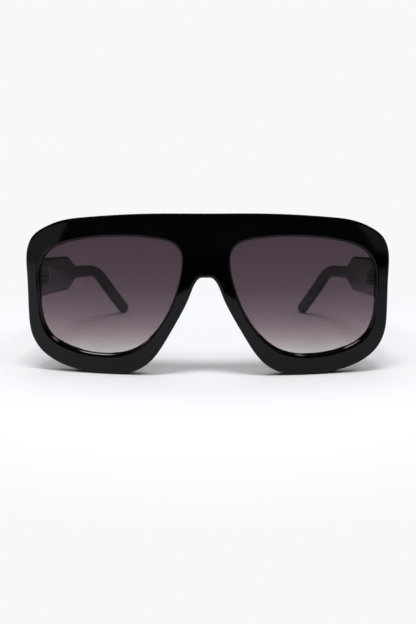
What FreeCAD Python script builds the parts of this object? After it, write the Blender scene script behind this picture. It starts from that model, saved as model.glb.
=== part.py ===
import FreeCAD, Part
import math
import os

from FreeCAD import Vector

# Oversized sunglasses, millimetres. The front faces -Y, +X is across and +Z is up.
# They stand open on a table, on the two lower rims and the two temple tips.

# Front
front_width = 150.0
front_height = 66.8
front_thickness = 5.5
front_radius = 270.0
front_edge_round = 1.2
back_edge_round = 0.8
opening_edge_round = 0.8
opening_back_round = 0.5

# Rims, bridge and nose notch
rim_side = 5.2
rim_top = 8.95
rim_bottom = 8.25
bridge_width = 19.4
nose_height = 41.5
rest_span = 82.0

# Lenses
lens_thickness = 2.0
lens_setback = 2.2
lens_bevel = 0.8
lens_clearance = 0.05

# Nose pads
pad_length = 15.0
pad_width = 3.4
pad_reach = 5.0
pad_height = 22.5
pad_spacing = 30.0
pad_lean = 28.0
pad_splay = 15.0
pad_cement = 0.05

# Lugs that carry the hinges
lug_inset = 1.2
lug_depth = 2.0
lug_root = 0.8
lug_edge_round = 0.8

# Temples
temple_thickness = 4.2
temple_gap = 0.2
temple_reach = 113.6
temple_edge_round = 0.9
hinge_height = 38.8
paddle_height = 16.2
paddle_length = 49.6
paddle_taper = 13.0
paddle_corner_radius = 9.0
arm_height = 5.8
arm_length = 91.6
arm_slope = 7.0
bend_outer_radius = 26.0
bend_inner_radius = 15.0
tip_radius = 2.8
tip_thickness = 3.0
tip_inset = 20.8

# Three-barrel hinges
barrel_radius = 1.6
barrel_height = 1.75
barrel_gap = 0.12
barrel_count = 3
barrel_relief = 0.25
barrel_edge_round = 0.2
leaf_thickness = 1.2
leaf_sunk = 0.3
leaf_height = 5.0
front_leaf_length = 3.3
temple_leaf_length = 11.0
anchor_length = 2.4
anchor_width = 1.6
anchor_height = 3.4
pocket_clearance = 0.05

# Hinge screws
screw_radius = 0.7
screw_clearance = 0.04
screw_head_radius = 1.15
screw_head_height = 0.6
screw_slot_width = 0.3
screw_slot_depth = 0.3

# Core wires
wire_radius = 0.7
wire_clearance = 0.05
wire_start = 14.0
wire_end_inset = 9.0
wire_bend_radius = 14.0
wire_knee_shares = (0.55, 0.8)

# Cutters run past the faces that they open by this much
overrun = 20.0

# Right half of the outline: shares of half the width and of the height, from the top to the rest point
outer_shares = [(0.0, 1.0), (0.33, 0.998), (0.667, 0.973), (0.80, 0.950), (0.885, 0.914), (0.963, 0.849),
                (0.993, 0.772), (0.998, 0.62), (0.998, 0.366), (0.987, 0.244), (0.935, 0.136), (0.84, 0.061),
                (0.717, 0.017)]
# Nose notch: shares of half the rest span and of the notch's height, from the rest point to its top
nose_shares = [(1.0, 0.0), (0.749, 0.030), (0.571, 0.139), (0.420, 0.341), (0.280, 0.582), (0.161, 0.820),
               (0.110, 0.939), (0.059, 0.996), (0.0, 1.0)]
# Lens opening: shares of its own width and height, clockwise from the top, the nose side at zero
opening_shares = [(0.36, 1.0), (0.55, 0.991), (0.70, 0.966), (0.845, 0.917), (0.935, 0.846), (0.984, 0.745),
                  (1.0, 0.59), (0.999, 0.40), (0.979, 0.25), (0.936, 0.152), (0.845, 0.074), (0.72, 0.022),
                  (0.545, 0.0), (0.41, 0.018), (0.30, 0.078), (0.212, 0.174), (0.13, 0.309), (0.063, 0.474),
                  (0.017, 0.65), (0.0, 0.79), (0.012, 0.882), (0.047, 0.937), (0.115, 0.970), (0.215, 0.989)]
# Plan of a temple's inner face: shares of its reach and of the tip's inset
plan_shares = [(0.0, 0.0), (0.25, 0.02), (0.5, 0.11), (0.74, 0.36), (1.0, 1.0), (1.08, 1.25)]

# What follows from the sizes
half_width = front_width / 2
middle_height = front_height / 2
face_centre = Vector(0, front_radius, middle_height)
opening_start = bridge_width / 2
opening_width = half_width - rim_side - opening_start
opening_height = front_height - rim_top - rim_bottom
temple_outer = half_width - lug_inset
temple_inner = temple_outer - temple_thickness
hinge_x = temple_inner + leaf_sunk - barrel_radius
barrel_pitch = barrel_height + barrel_gap
hinge_bottom = hinge_height - (barrel_count * barrel_pitch - barrel_gap) / 2
hinge_top = hinge_bottom + barrel_count * barrel_pitch - barrel_gap
slope = math.radians(arm_slope)


def depth_at(setback, x, z):
    # Y of the curved face that lies this far behind the face of the front
    return front_radius - math.sqrt((front_radius - setback) ** 2 - x ** 2 - (z - middle_height) ** 2)


lug_back = depth_at(front_thickness, temple_inner, hinge_height)
hinge_y = depth_at(front_thickness, temple_outer, hinge_height) + lug_depth
leaf_x = (hinge_x + barrel_radius - leaf_thickness, hinge_x + barrel_radius)
anchor_x = (leaf_x[1], leaf_x[1] + anchor_length)
leaf_start = barrel_radius + pocket_clearance
front_leaf_y = (hinge_y - front_leaf_length, hinge_y - leaf_start)
temple_leaf_y = (hinge_y + leaf_start, hinge_y + temple_leaf_length)
origin_y = (hinge_y + temple_reach + tip_radius) / 2


def mirrored(shape):
    return shape.mirror(Vector(0, 0, 0), Vector(1, 0, 0))


def around(middle, size):
    return (middle - size / 2, middle + size / 2)


def grown(limits):
    return (limits[0] - pocket_clearance, limits[1] + pocket_clearance)


def box(x, y, z):
    corner = Vector(x[0], y[0], z[0])
    return Part.makeBox(x[1] - x[0], y[1] - y[0], z[1] - z[0], corner)


# Front and lenses
def shell(setback, thickness):
    outer = Part.makeSphere(front_radius - setback, face_centre)
    return outer.cut(Part.makeSphere(front_radius - setback - thickness, face_centre))


def prism(wire):
    start = Vector(0, -overrun, 0)
    return Part.Face(wire).translated(start).extrude(Vector(0, front_radius / 2, 0))


def front_outline():
    points = [Vector(x * half_width, 0, z * front_height) for x, z in outer_shares]
    points += [Vector(x * rest_span / 2, 0, z * nose_height) for x, z in nose_shares]
    curve = Part.BSplineCurve()
    curve.interpolate(Points=points, InitialTangent=Vector(1, 0, 0), FinalTangent=Vector(-1, 0, 0))
    half = curve.toShape()
    return Part.Wire([half, mirrored(half)])


def opening_curve():
    points = [Vector(opening_start + x * opening_width, 0, rim_bottom + z * opening_height)
              for x, z in opening_shares]
    curve = Part.BSplineCurve()
    curve.interpolate(Points=points, PeriodicFlag=True)
    return curve


def opening_ring(margin, depth):
    # The opening's closed curve, moved outwards by a margin, with each point at its own depth
    curve = opening_curve()
    count = 2 * len(opening_shares)
    first = curve.FirstParameter
    step = (curve.LastParameter - first) / count
    points = []
    for index in range(count):
        at = first + index * step
        edge_way = curve.tangent(at)[0]
        point = curve.value(at) + Vector(-edge_way.z, 0, edge_way.x) * margin
        points.append(Vector(point.x, depth(point), point.z))
    moved = Part.BSplineCurve()
    moved.interpolate(Points=points, PeriodicFlag=True,
                      Parameters=[first + index * step for index in range(count + 1)])
    return Part.Wire([moved.toShape()])


def face_edges(shape, setback):
    # Edges that lie wholly on the curved face at this setback
    radius = front_radius - setback
    return [e for e in shape.Edges
            if all(abs(p.distanceToPoint(face_centre) - radius) < lens_clearance for p in e.discretize(9))]


def lens_spool(room):
    # Plug through the opening with a V-ridge at the lens's depth. The lens is a slice of it; with room
    # all round it cuts the rim's groove. Away from the ridge it stays inside the opening
    middle = lens_setback + lens_thickness / 2
    inset = lens_bevel / 2
    flank = lens_thickness / 2 * (lens_bevel + inset) / lens_bevel

    def on_face(setback):
        return lambda point: depth_at(setback, point.x, point.z)

    rings = [
        opening_ring(room - inset, lambda point: -overrun),
        opening_ring(room - inset, on_face(middle - flank)),
        opening_ring(room + lens_bevel, on_face(middle)),
        opening_ring(room - inset, on_face(middle + flank)),
        opening_ring(room - inset, lambda point: front_radius / 2 - overrun),
    ]
    return Part.makeLoft(rings, True, True)


def lens():
    return lens_spool(0).common(shell(lens_setback, lens_thickness)).Solids[0]


def lug():
    height = around(hinge_height, paddle_height / math.cos(slope))
    block = box((temple_inner, temple_outer), (lug_back - lug_root, hinge_y), height)
    long_edges = [e for e in block.Edges if e.BoundBox.YLength > lug_root]
    return block.makeFillet(lug_edge_round, long_edges)


def opening_edges(front, setback):
    # The edges of both lens openings on one face; those of the outer outline reach the middle
    return [e for e in face_edges(front, setback)
            if min(abs(e.BoundBox.XMin), abs(e.BoundBox.XMax)) > bridge_width / 4]


def frame_front():
    front = prism(front_outline()).common(shell(0, front_thickness))
    front = front.makeFillet(front_edge_round, face_edges(front, 0))
    front = front.makeFillet(back_edge_round, face_edges(front, front_thickness))
    opening = prism(Part.Wire([opening_curve().toShape()]))
    front = front.cut(opening).cut(mirrored(opening))
    front = front.makeFillet(opening_edge_round, opening_edges(front, 0))
    front = front.makeFillet(opening_back_round, opening_edges(front, front_thickness))
    groove = lens_spool(lens_clearance)
    front = front.cut(groove).cut(mirrored(groove))
    end_piece = lug()
    front = front.fuse([end_piece, mirrored(end_piece)])
    pocket = hinge_pocket(front_leaf_y)
    return front.cut(pocket).cut(mirrored(pocket)).Solids[0]


def nose_pad():
    # Half of a slim egg, cemented to the back of the nose rim, leaning with it and splayed outwards
    scale = FreeCAD.Matrix()
    scale.scale(Vector(pad_width / 2, pad_reach, pad_length / 2))
    pad = Part.makeSphere(1).transformGeometry(scale)
    pad.rotate(Vector(0, 0, 0), Vector(0, 0, 1), -pad_splay)
    pad.rotate(Vector(0, 0, 0), Vector(0, 1, 0), -pad_lean)
    x = pad_spacing / 2
    setback = front_thickness + pad_cement
    pad.translate(Vector(x, depth_at(setback, x, pad_height), pad_height))
    return pad.common(Part.makeSphere(front_radius - setback, face_centre)).Solids[0]


# Hinges
def stack_limits(index):
    low = hinge_bottom + index * barrel_pitch
    return (low, low + barrel_height)


def anchor_y(leaf_y):
    return around((leaf_y[0] + leaf_y[1]) / 2, anchor_width)


def to_axis(leaf_y):
    # A leaf's limits, run on to the hinge's axis
    return (min(leaf_y[0], hinge_y), max(leaf_y[1], hinge_y))


def hinge_half(leaf_y, indices):
    half = box(leaf_x, leaf_y, around(hinge_height, leaf_height))
    half = half.fuse(box(anchor_x, anchor_y(leaf_y), around(hinge_height, anchor_height)))
    near = leaf_y[0] if leaf_y[0] > hinge_y else leaf_y[1]
    for index in indices:
        limits = stack_limits(index)
        barrel = Part.makeCylinder(barrel_radius, barrel_height, Vector(hinge_x, hinge_y, limits[0]))
        rims = [e for e in barrel.Edges if e.BoundBox.ZLength < barrel_gap]
        barrel = barrel.makeFillet(barrel_edge_round, rims)
        finger = box(leaf_x, (min(near, hinge_y), max(near, hinge_y)), limits)
        half = half.fuse([barrel, finger])
    bore = Part.makeCylinder(screw_radius + screw_clearance, front_height, Vector(hinge_x, hinge_y, 0))
    return half.cut(bore).removeSplitter().Solids[0]


def hinge_pocket(leaf_y):
    # Room for a sunk leaf, its anchor, the barrels and the screw's head
    cutter = box(grown(leaf_x), grown(to_axis(leaf_y)), grown((hinge_bottom, hinge_top)))
    anchor_z = around(hinge_height, anchor_height)
    cutter = cutter.fuse(box(grown(anchor_x), grown(anchor_y(leaf_y)), grown(anchor_z)))
    low = hinge_bottom - barrel_relief
    high = hinge_top + screw_head_height + barrel_relief
    round_room = Part.makeCylinder(barrel_radius + barrel_relief, high - low, Vector(hinge_x, hinge_y, low))
    return cutter.fuse(round_room)


def hinge_screw():
    head_top = hinge_top + screw_head_height
    shank = Part.makeCylinder(screw_radius, hinge_top - hinge_bottom, Vector(hinge_x, hinge_y, hinge_bottom))
    head = Part.makeCylinder(screw_head_radius, screw_head_height, Vector(hinge_x, hinge_y, hinge_top))
    rim = [e for e in head.Edges if e.BoundBox.ZMin > hinge_top]
    head = head.makeFillet(screw_slot_depth, rim)
    slot = box(around(hinge_x, 2 * screw_head_radius), around(hinge_y, screw_slot_width),
               (head_top - screw_slot_depth, head_top + overrun))
    return shank.fuse(head).cut(slot).removeSplitter().Solids[0]


# Temples
def along(u, v):
    # Point of the temple's side view, u along the sloping arm and v square to it
    y = hinge_y + u * math.cos(slope) + v * math.sin(slope)
    return Vector(0, y, hinge_height - u * math.sin(slope) + v * math.cos(slope))


def at_butt(v):
    return along((temple_gap - v * math.sin(slope)) / math.cos(slope), v)


bend_point = along(arm_length, 0)
tip_point = Vector(0, hinge_y + temple_reach, tip_radius)
drop_way = (tip_point - bend_point).normalize()


def temple_side():
    # Side view as a solid along X: paddle, taper, arm, bend and the round tip that stands on the table
    paddle = paddle_height / 2
    arm = arm_height / 2
    taper_end = paddle_length + paddle_taper
    drop_up = Vector(0, -drop_way.z, drop_way.y)
    arm_up = Vector(0, math.sin(slope), math.cos(slope))
    bisector = (arm_up + drop_up).normalize()
    mitre = bisector * (arm / bisector.dot(arm_up))
    upper = [at_butt(paddle), along(paddle_length, paddle), along(taper_end, arm), bend_point + mitre]
    lower = [bend_point - mitre, along(taper_end, -arm), along(paddle_length, -paddle), at_butt(-paddle)]
    tip_top = tip_point + drop_up * tip_radius
    tip_low = tip_point - drop_up * tip_radius
    edges = [Part.LineSegment(a, b).toShape() for a, b in zip(upper, upper[1:] + [tip_top])]
    edges.append(Part.Arc(tip_top, tip_point + drop_way * tip_radius, tip_low).toShape())
    chain = [tip_low] + lower + [upper[0]]
    edges += [Part.LineSegment(a, b).toShape() for a, b in zip(chain, chain[1:])]
    solid = Part.Face(Part.Wire(edges)).extrude(Vector(front_width, 0, 0))
    corners = [(upper[3], bend_outer_radius), (lower[0], bend_inner_radius)]
    corners += [(corner, paddle_corner_radius) for corner in upper[1:3] + lower[1:3]]
    for corner, radius in corners:
        ridge = [e for e in solid.Edges if e.BoundBox.XLength > half_width
                 and (e.CenterOfMass - corner).cross(Vector(1, 0, 0)).Length < temple_gap]
        solid = solid.makeFillet(radius, ridge)
    return solid


def plan_curve(wide):
    # Plan of the inner face, or of the outer face, which comes closer towards the tip
    points = []
    for reach, inset in plan_shares:
        thickness = temple_thickness + (tip_thickness - temple_thickness) * reach
        x = temple_inner - tip_inset * inset + (thickness if wide else 0)
        points.append(Vector(x, hinge_y + reach * temple_reach, -overrun))
    curve = Part.BSplineCurve()
    curve.interpolate(Points=points)
    return curve


def temple_plan():
    # Plan view as a solid along Z
    inner, outer = plan_curve(False), plan_curve(True)
    caps = [Part.LineSegment(inner.StartPoint, outer.StartPoint),
            Part.LineSegment(inner.EndPoint, outer.EndPoint)]
    wire = Part.Wire(Part.__sortEdges__([c.toShape() for c in (inner, outer, *caps)]))
    return Part.Face(wire).extrude(Vector(0, 0, front_height + 2 * overrun))


def plan_middle(y):
    # X of the middle of the temple's thickness
    found = []
    for wide in (False, True):
        curve = plan_curve(wide)
        point = curve.StartPoint
        for _ in plan_shares:
            point = curve.value(curve.parameter(Vector(point.x, y, point.z)))
        found.append(point.x)
    return sum(found) / len(found)


def core_wire(room):
    # Straight runs and tangent arcs along the middle of the temple, with knees where the arm curves in
    knees = [along(arm_length * share, 0) for share in wire_knee_shares]
    route = [along(wire_start - room, 0)] + knees + [bend_point, tip_point - drop_way * (wire_end_inset - room)]
    route = [Vector(plan_middle(p.y), p.y, p.z) for p in route]
    edges = []
    start = route[0]
    for before, corner, after in zip(route, route[1:], route[2:]):
        way_in = (corner - before).normalize()
        way_out = (after - corner).normalize()
        turn = way_in.getAngle(way_out)
        cut_back = wire_bend_radius * math.tan(turn / 2)
        inwards = (way_out - way_in).normalize()
        middle = corner + inwards * wire_bend_radius * (1 / math.cos(turn / 2) - 1)
        arc_start = corner - way_in * cut_back
        arc_end = corner + way_out * cut_back
        edges.append(Part.LineSegment(start, arc_start).toShape())
        edges.append(Part.Arc(arc_start, middle, arc_end).toShape())
        start = arc_end
    edges.append(Part.LineSegment(start, route[-1]).toShape())
    ring = Part.Circle(route[0], (route[1] - route[0]).normalize(), wire_radius + room).toShape()
    return Part.Wire(edges).makePipeShell([Part.Wire([ring])], True, False)


def temple():
    blank = temple_side().common(temple_plan())
    long_edges = [e for e in blank.Edges if e.BoundBox.YLength > temple_gap]
    solid = blank.makeFillet(temple_edge_round, long_edges)
    return solid.cut(hinge_pocket(temple_leaf_y)).cut(core_wire(wire_clearance)).Solids[0]


# Right-hand pieces, each with a mirrored twin on the left
right_pieces = {
    "lens": lens(),
    "nose_pad": nose_pad(),
    "temple": temple(),
    "core_wire": core_wire(0),
    "hinge_front": hinge_half(front_leaf_y, range(0, barrel_count, 2)),
    "hinge_temple": hinge_half(temple_leaf_y, range(1, barrel_count, 2)),
    "hinge_screw": hinge_screw(),
}

pieces = {"frame_front": frame_front()}
for name, solid in right_pieces.items():
    pieces[name + "_right"] = solid
    pieces[name + "_left"] = mirrored(solid)

os.makedirs("parts", exist_ok=True)
for name, solid in pieces.items():
    solid.translated(Vector(0, -origin_y, 0)).exportStep("parts/" + name + ".step")
    print(name, round(solid.Volume, 1), solid.isValid())
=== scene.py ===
import math

import bpy
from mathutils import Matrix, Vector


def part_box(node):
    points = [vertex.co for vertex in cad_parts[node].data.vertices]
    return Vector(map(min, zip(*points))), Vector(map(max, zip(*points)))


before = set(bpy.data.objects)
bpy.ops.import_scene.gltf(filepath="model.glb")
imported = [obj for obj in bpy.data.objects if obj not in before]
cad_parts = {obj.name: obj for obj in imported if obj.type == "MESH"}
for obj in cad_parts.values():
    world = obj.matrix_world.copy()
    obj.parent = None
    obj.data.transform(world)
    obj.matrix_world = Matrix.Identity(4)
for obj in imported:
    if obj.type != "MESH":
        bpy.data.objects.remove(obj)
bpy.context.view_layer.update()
scene = bpy.context.scene
scene.view_settings.view_transform = "Standard"
print("frame loaded:", len(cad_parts), "nodes")


class Wire:  # a socket of a node tree; sums on it add Math nodes
    def __init__(self, tree, socket=None):
        self.tree = tree
        self.socket = socket

    def node(self, kind, settings=None, sockets=None, out=0):
        made = self.tree.nodes.new("ShaderNode" + kind)
        for name, value in (settings or {}).items():
            setattr(made, name, value)
        for name, value in (sockets or {}).items():
            if isinstance(value, Wire):
                self.tree.links.new(value.socket, made.inputs[name])
            else:
                made.inputs[name].default_value = value
        return Wire(self.tree, made.outputs[out] if made.outputs else None)

    def math(self, operation, first, second=0.0):
        return self.node("Math", {"operation": operation}, {0: first, 1: second})

    def __add__(self, other):
        return self.math("ADD", self, other)

    def __sub__(self, other):
        return self.math("SUBTRACT", self, other)

    def __mul__(self, other):
        return self.math("MULTIPLY", self, other)

    def __truediv__(self, other):
        return self.math("DIVIDE", self, other)

    def __pow__(self, other):
        return self.math("POWER", self, other)

    def __rtruediv__(self, other):
        return self.math("DIVIDE", other, self)

    def __rsub__(self, other):
        return self.math("SUBTRACT", other, self)

    def __rpow__(self, other):
        return self.math("POWER", other, self)

    def __abs__(self):
        return self.math("ABSOLUTE", self)

    __radd__ = __add__
    __rmul__ = __mul__

    def axes(self):  # the three numbers of a place
        split = self.node("SeparateXYZ", None, {"Vector": self}).socket.node
        return [Wire(self.tree, socket) for socket in split.outputs]

    def noise(self, settings):
        return self.node("TexNoise", None, {"Vector": self, **settings})

    def ease(self, span):  # 0 below the span, 1 above it, smooth between
        low, high = span
        return self.node("MapRange", {"interpolation_type": "SMOOTHSTEP"},
                         {"Value": self, "From Min": low, "From Max": high})

    def blendColour(self, first, second):
        return self.node("Mix", {"data_type": "RGBA"}, {0: self, 6: first, 7: second}, out=2)

    def blendShader(self, first, second):
        return self.node("MixShader", None, {0: self, 1: first, 2: second})


def newFinish(name):
    material = bpy.data.materials.new(name)
    material.use_nodes = True
    material.node_tree.nodes.clear()
    return material, Wire(material.node_tree)


def closeFinish(wire, shader):
    wire.node("OutputMaterial", None, {"Surface": shader})


def objectPlace(wire):
    return wire.node("TexCoord", None, None, out="Object")


def dress(names, material):
    for name in names:
        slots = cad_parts[name].data.materials
        slots.clear()
        slots.append(material)


def bothSides(name):
    return [name + "_left", name + "_right"]


# Black acetate of the front, the temples and the nose pads
acetate = {
    "colour": (0.0005, 0.0005, 0.0006, 1),
    "cloud": (0.0012, 0.0011, 0.0013, 1),
    "cloudNoise": {"Scale": 55, "Detail": 4, "Roughness": 0.6},
    "cloudSpan": (0.35, 0.7),
    "roughness": 0.05,
    "smudgeRoughness": 0.05,  # what a smudge adds
    "smudgeNoise": {"Scale": 130, "Detail": 6, "Roughness": 0.7},
    "smudgeSpan": (0.5, 0.85),
    "rippleNoise": {"Scale": 420, "Detail": 2},
    "rippleDepth": 0.00002,
    "rippleStrength": 0.02,
    "ior": 1.49,
}


def makeAcetate():
    material, wire = newFinish("blackAcetate")
    place = objectPlace(wire)
    cloud = place.noise(acetate["cloudNoise"]).ease(acetate["cloudSpan"])
    smudge = place.noise(acetate["smudgeNoise"]).ease(acetate["smudgeSpan"])
    bump = wire.node("Bump", None, {
        "Height": place.noise(acetate["rippleNoise"]), "Distance": acetate["rippleDepth"],
        "Strength": acetate["rippleStrength"]})
    closeFinish(wire, wire.node("BsdfPrincipled", None, {
        "Base Color": cloud.blendColour(acetate["colour"], acetate["cloud"]),
        "Roughness": acetate["roughness"] + acetate["smudgeRoughness"] * smudge,
        "IOR": acetate["ior"], "Normal": bump}))
    return material


# Tinted lenses, dark at the top and fading towards the lower edge; light passes two faces
tint = {
    "clearAtTop": 0.241,  # share of the light that one face lets through
    "clearGain": 1.56,  # how much that share grows downwards
    "turn": 0.0015,  # height of the middle of the fade
    "fade": 0.0105,  # its length
    "filmTop": (1.0, 0.795, 0.905, 1),
    "filmFoot": (1.0, 0.955, 0.945, 1),
    "filmGain": 3.4,  # how soon the colour of the foot is reached
    "haze": (0.0175, 0.0156, 0.017, 1),
    "dust": (0.026, 0.023, 0.025, 1),
    "dustNoise": {"Scale": 300, "Detail": 5, "Roughness": 0.7},
    "dustSpan": (0.55, 0.8),
    "roughness": 0.02,
    "dustRoughness": 0.03,  # what the dust adds
    "shine": 0.2,
    "ior": 1.5,
}


def makeTint():
    material, wire = newFinish("gradientTint")
    place = objectPlace(wire)
    height = place.axes()[2]
    fade = 1 / (1 + math.e ** ((height - tint["turn"]) / tint["fade"]))
    top = wire.node("BsdfTransparent", None, {"Color": tint["filmTop"]})
    foot = wire.node("BsdfTransparent", None, {"Color": tint["filmFoot"]})
    film = (tint["filmGain"] * fade).blendShader(top, foot)
    dust = place.noise(tint["dustNoise"]).ease(tint["dustSpan"])
    face = wire.node("BsdfPrincipled", None, {
        "Base Color": dust.blendColour(tint["haze"], tint["dust"]),
        "Roughness": tint["roughness"] + tint["dustRoughness"] * dust,
        "Specular IOR Level": tint["shine"], "IOR": tint["ior"]})
    cover = 1 - tint["clearAtTop"] - tint["clearGain"] * fade
    closeFinish(wire, cover.blendShader(film, face))
    return material


# Satin metal of the hinges, screws and core wires, with dark grease and painted shade in the joints
# between the barrels
hingeLow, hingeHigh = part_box("hinge_front_left")
barrels = 3
satin = {
    "colour": (0.85, 0.83, 0.79, 1),
    "worn": (0.7, 0.68, 0.64, 1),
    "patchNoise": {"Scale": 400, "Detail": 4},
    "patchSpan": (0.4, 0.7),
    # colour of the joints: dark grease and painted shade in the gaps between the barrels
    "greaseAndShade": (0.012, 0.011, 0.01, 1),
    "metallic": 0.3,
    "roughness": 0.28,
    "grainNoise": {"Scale": 2500, "Detail": 3},
    "grainStretch": (1, 1, 0.1),
    "grainSpan": (0.3, 0.8),
    "grainRoughness": 0.2,  # what the grain adds
    "middle": (hingeLow[2] + hingeHigh[2]) / 2,
    "seamRise": (hingeHigh[2] - hingeLow[2]) / barrels / 2,  # a seam above the middle and one below
    "seam": (0.0002, 0.0004),
}


def makeMetal():
    material, wire = newFinish("satinNickel")
    place = objectPlace(wire)
    stretched = wire.node("Mapping", None, {"Vector": place, "Scale": satin["grainStretch"]})
    grain = stretched.noise(satin["grainNoise"]).ease(satin["grainSpan"])
    patch = place.noise(satin["patchNoise"]).ease(satin["patchSpan"])
    rise = abs(place.axes()[2] - satin["middle"])
    # bands painted dark at the two barrel joints, as grease and as the shade in the gaps
    awayFromJoints = abs(rise - satin["seamRise"]).ease(satin["seam"])
    metal = patch.blendColour(satin["colour"], satin["worn"])
    closeFinish(wire, wire.node("BsdfPrincipled", None, {
        "Base Color": awayFromJoints.blendColour(satin["greaseAndShade"], metal), "Metallic": satin["metallic"],
        "Roughness": satin["roughness"] + satin["grainRoughness"] * grain}))
    return material


blackAcetate = makeAcetate()
dress(["frame_front"] + bothSides("temple") + bothSides("nose_pad"), blackAcetate)
dress(bothSides("lens"), makeTint())
satinMetal = makeMetal()
for piece in ("hinge_front", "hinge_temple", "hinge_screw", "core_wire"):
    dress(bothSides(piece), satinMetal)
print("finishes on", len(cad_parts), "nodes")

# Pale floor that runs out into pale ground; the gloss sees it cooler, dimmer and only in part
pale = (0.93, 0.94, 0.956, 1)
ground = {
    "size": 6.0,
    "runOut": (0.12, 0.21),  # where the lit floor turns into plain ground
    "cool": (0.88, 0.89, 1.0, 1),  # its colour in the gloss
    "dark": (0, 0, 0, 1),
    "gloss": 0.44,  # its level in the gloss, in front
    "lean": 1.2,  # how much higher that level is to the left, per metre
    "fade": (0.35, 1.05),  # where the gloss loses it in the distance
    "behind": (0.02, 0.06),  # where the floor in front turns into the floor behind
    "loss": 0.45,  # how much the gloss loses of the floor behind
    "lossSpan": (0.13, 0.17),
    "front": 0.255,  # how far the floor in front shows in the gloss
    "edge": (-0.02, 0.02),  # how softly it ends there
    "step": 0.025,  # it shows less far on the right
    "stepSpan": (-0.04, 0.01),
    "sideStart": 0.15,  # and further where it is wide of the glasses
    "sideGain": 0.9,
}
# How much further the floor shows in the two sides of the nose notch, and between which places
flankLeft = {"reach": 0.08, "start": (-0.0372, -0.0354), "end": (-0.03, -0.02)}
flankRight = {"reach": 0.04, "start": (0.0, 0.02), "end": (0.0215, 0.0248)}


def groundShader(wire, away, colour):
    lit = wire.node("BsdfDiffuse", None, {"Color": colour})
    glow = wire.node("Emission", None, {"Color": colour})
    return away.ease(ground["runOut"]).blendShader(lit, glow)


def glossReach(across, along):  # 1 where the gloss sees the floor
    side = across.math("MAXIMUM", abs(across) - ground["sideStart"], 0.0)
    edge = along + ground["front"] - ground["step"] * across.ease(ground["stepSpan"])
    edge = edge + ground["sideGain"] * side
    for flank in (flankLeft, flankRight):
        edge = edge + flank["reach"] * across.ease(flank["start"]) * (1 - across.ease(flank["end"]))
    return edge.ease(ground["edge"])


def glossLevel(across, along, away):  # how bright the gloss sees it
    behind = along.ease(ground["behind"])
    front = ground["gloss"] * (1 - ground["lean"] * across)
    rear = 1 - ground["loss"] * along.ease(ground["lossSpan"])
    return (front * (1 - behind) + rear * behind) * (1 - away.ease(ground["fade"]))


def isRay(wire, kind):
    return wire.node("LightPath", None, None, out="Is " + kind + " Ray")


def makeFloor():
    bpy.ops.object.select_all(action="DESELECT")
    bpy.ops.mesh.primitive_plane_add(size=ground["size"], location=(0, 0, 0))
    floor = bpy.context.object
    floor.name = "floor"
    material, wire = newFinish("paleFloor")
    across, along = objectPlace(wire).axes()[:2]
    away = (across * across + along * along) ** 0.5
    dark = wire.node("Emission", None, {"Color": ground["dark"]})
    dim = glossLevel(across, along, away).blendShader(dark, groundShader(wire, away, ground["cool"]))
    seen = glossReach(across, along).blendShader(dark, dim)
    closeFinish(wire, isRay(wire, "Glossy").blendShader(groundShader(wire, away, pale), seen))
    floor.data.materials.append(material)


# Room: pale to the camera, dark in the gloss but for a low window behind, and soft light from above;
# its spans are on the axes of a direction of length 1
room = {
    "dark": 0.02,
    "window": 3.0,
    "post": 0.03,  # the middle of the post between the two panes
    "postSpan": (0.07, 0.11),
    "widthSpan": (0.26, 0.3),
    "backSpan": (0.8, 0.88),
    "sillSpan": (0.21, 0.25),
    "headSpan": (0.29, 0.33),
    "fill": 1.48,
    "fillSpan": (0.55, 1.0),
}


def makeWorld():
    world = bpy.data.worlds.new("studio")
    world.use_nodes = True
    world.node_tree.nodes.clear()
    wire = Wire(world.node_tree)
    across, back, up = wire.node("TexCoord", None, None, out="Generated").axes()
    panes = abs(across - room["post"]).ease(room["postSpan"]) * (1 - abs(across).ease(room["widthSpan"]))
    tall = up.ease(room["sillSpan"]) * (1 - up.ease(room["headSpan"]))
    wall = room["dark"] + room["window"] * panes * tall * back.ease(room["backSpan"])
    fill = room["fill"] * up.ease(room["fillSpan"])
    seen = wire.math("MAXIMUM", isRay(wire, "Camera"), isRay(wire, "Transmission"))
    gloss = isRay(wire, "Glossy")
    strength = seen + gloss * wall + (1 - seen - gloss) * fill
    wire.node("OutputWorld", None, {"Surface": wire.node(
        "Background", None, {"Color": pale, "Strength": strength})})
    scene.world = world


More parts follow.
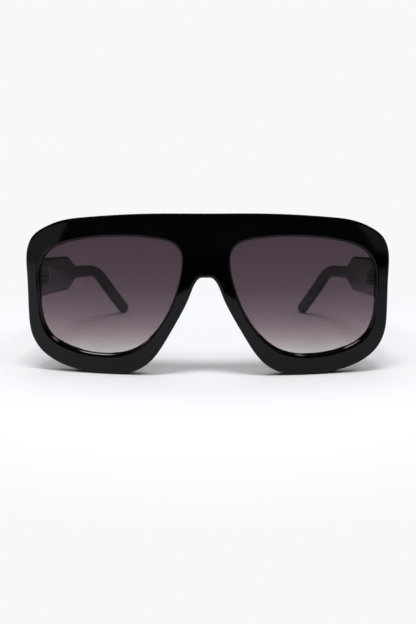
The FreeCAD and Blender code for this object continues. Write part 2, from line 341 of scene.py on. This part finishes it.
# The softboxes light, the cards only show in the gloss; glow is a card's radiance, roll is in degrees
softboxes = {
    "softTop": {"place": (0, -0.46, 1.5), "target": (0, -0.065, 0), "size": (0.6, 0.27), "power": 10.0},
    "softFront": {"place": (0, -1.2, 0.75), "target": (0, -0.065, 0), "size": (0.9, 0.4), "power": 1.9},
    "softLeft": {"place": (-0.612, -0.473, 0.946), "target": (0, -0.06, 0),
                 "size": (0.2, 0.2), "power": 0.75},
    "softRight": {"place": (0.612, -0.473, 0.946), "target": (0, -0.06, 0),
                  "size": (0.2, 0.2), "power": 0.75},
}
cardColour = (0.97, 0.96, 1.17)
cards = {
    "cardLeft": {"place": (-0.4938, -0.4397, 0.1386), "target": (-0.0598, -0.0677, 0.0406),
                 "size": (0.29, 0.25), "roll": 50.3, "glow": 0.2425},
    "cardRight": {"place": (0.4951, -0.4381, 0.139), "target": (0.0611, -0.0661, 0.041),
                  "size": (0.29, 0.25), "roll": -46, "glow": 0.17},
    "sideLeft": {"place": (-0.77, -0.1, 0.13), "target": (-0.075, -0.056, 0.05),
                 "size": (0.5, 0.26), "roll": 0, "glow": 0.25},
    "sideRight": {"place": (0.77, -0.1, 0.13), "target": (0.075, -0.056, 0.05),
                  "size": (0.5, 0.26), "roll": 0, "glow": 0.2},
}


def addLamp(name, lamp):
    light = bpy.data.lights.new(name, "AREA")
    light.shape = "RECTANGLE"
    light.size, light.size_y = lamp["size"]
    made = bpy.data.objects.new(name, light)
    scene.collection.objects.link(made)
    made.location = lamp["place"]
    across, along, up = [t - p for t, p in zip(lamp["target"], lamp["place"])]
    level = math.hypot(across, along)
    made.rotation_euler = (math.atan2(level, -up), 0, math.atan2(-across, along))
    return made


def addSoftbox(name):
    made = addLamp(name, softboxes[name])
    made.data.energy = softboxes[name]["power"]
    made.visible_glossy = False


def addCard(name):
    card = cards[name]
    made = addLamp(name, card)
    width, height = card["size"]
    made.data.energy = card["glow"] * math.pi * width * height
    made.data.color = cardColour
    made.rotation_euler.rotate_axis("Z", math.radians(card["roll"]))
    made.visible_diffuse = False


makeFloor()
makeWorld()
for name in softboxes:
    addSoftbox(name)
for name in cards:
    addCard(name)
print("studio ready:", len(softboxes), "softboxes and", len(cards), "cards")

# Camera at the photograph's place; angles in degrees, lens and sensor in millimetres
view = {
    "place": (0.00972, -0.4021, 0.09719),
    "pitch": 11.717,
    "yaw": 1.49,
    "roll": 0.179,
    "lens": 48.846,
    "sensor": 36,
    "clipStart": 0.01,
}


def makeCamera():
    camera = bpy.data.objects.new("camera", bpy.data.cameras.new("camera"))
    scene.collection.objects.link(camera)
    camera.location = view["place"]
    camera.rotation_euler = [math.radians(a) for a in (90 - view["pitch"], view["roll"], view["yaw"])]
    camera.data.sensor_width = view["sensor"]
    camera.data.lens = view["lens"]
    camera.data.clip_start = view["clipStart"]
    scene.camera = camera


makeCamera()
print("camera ready")
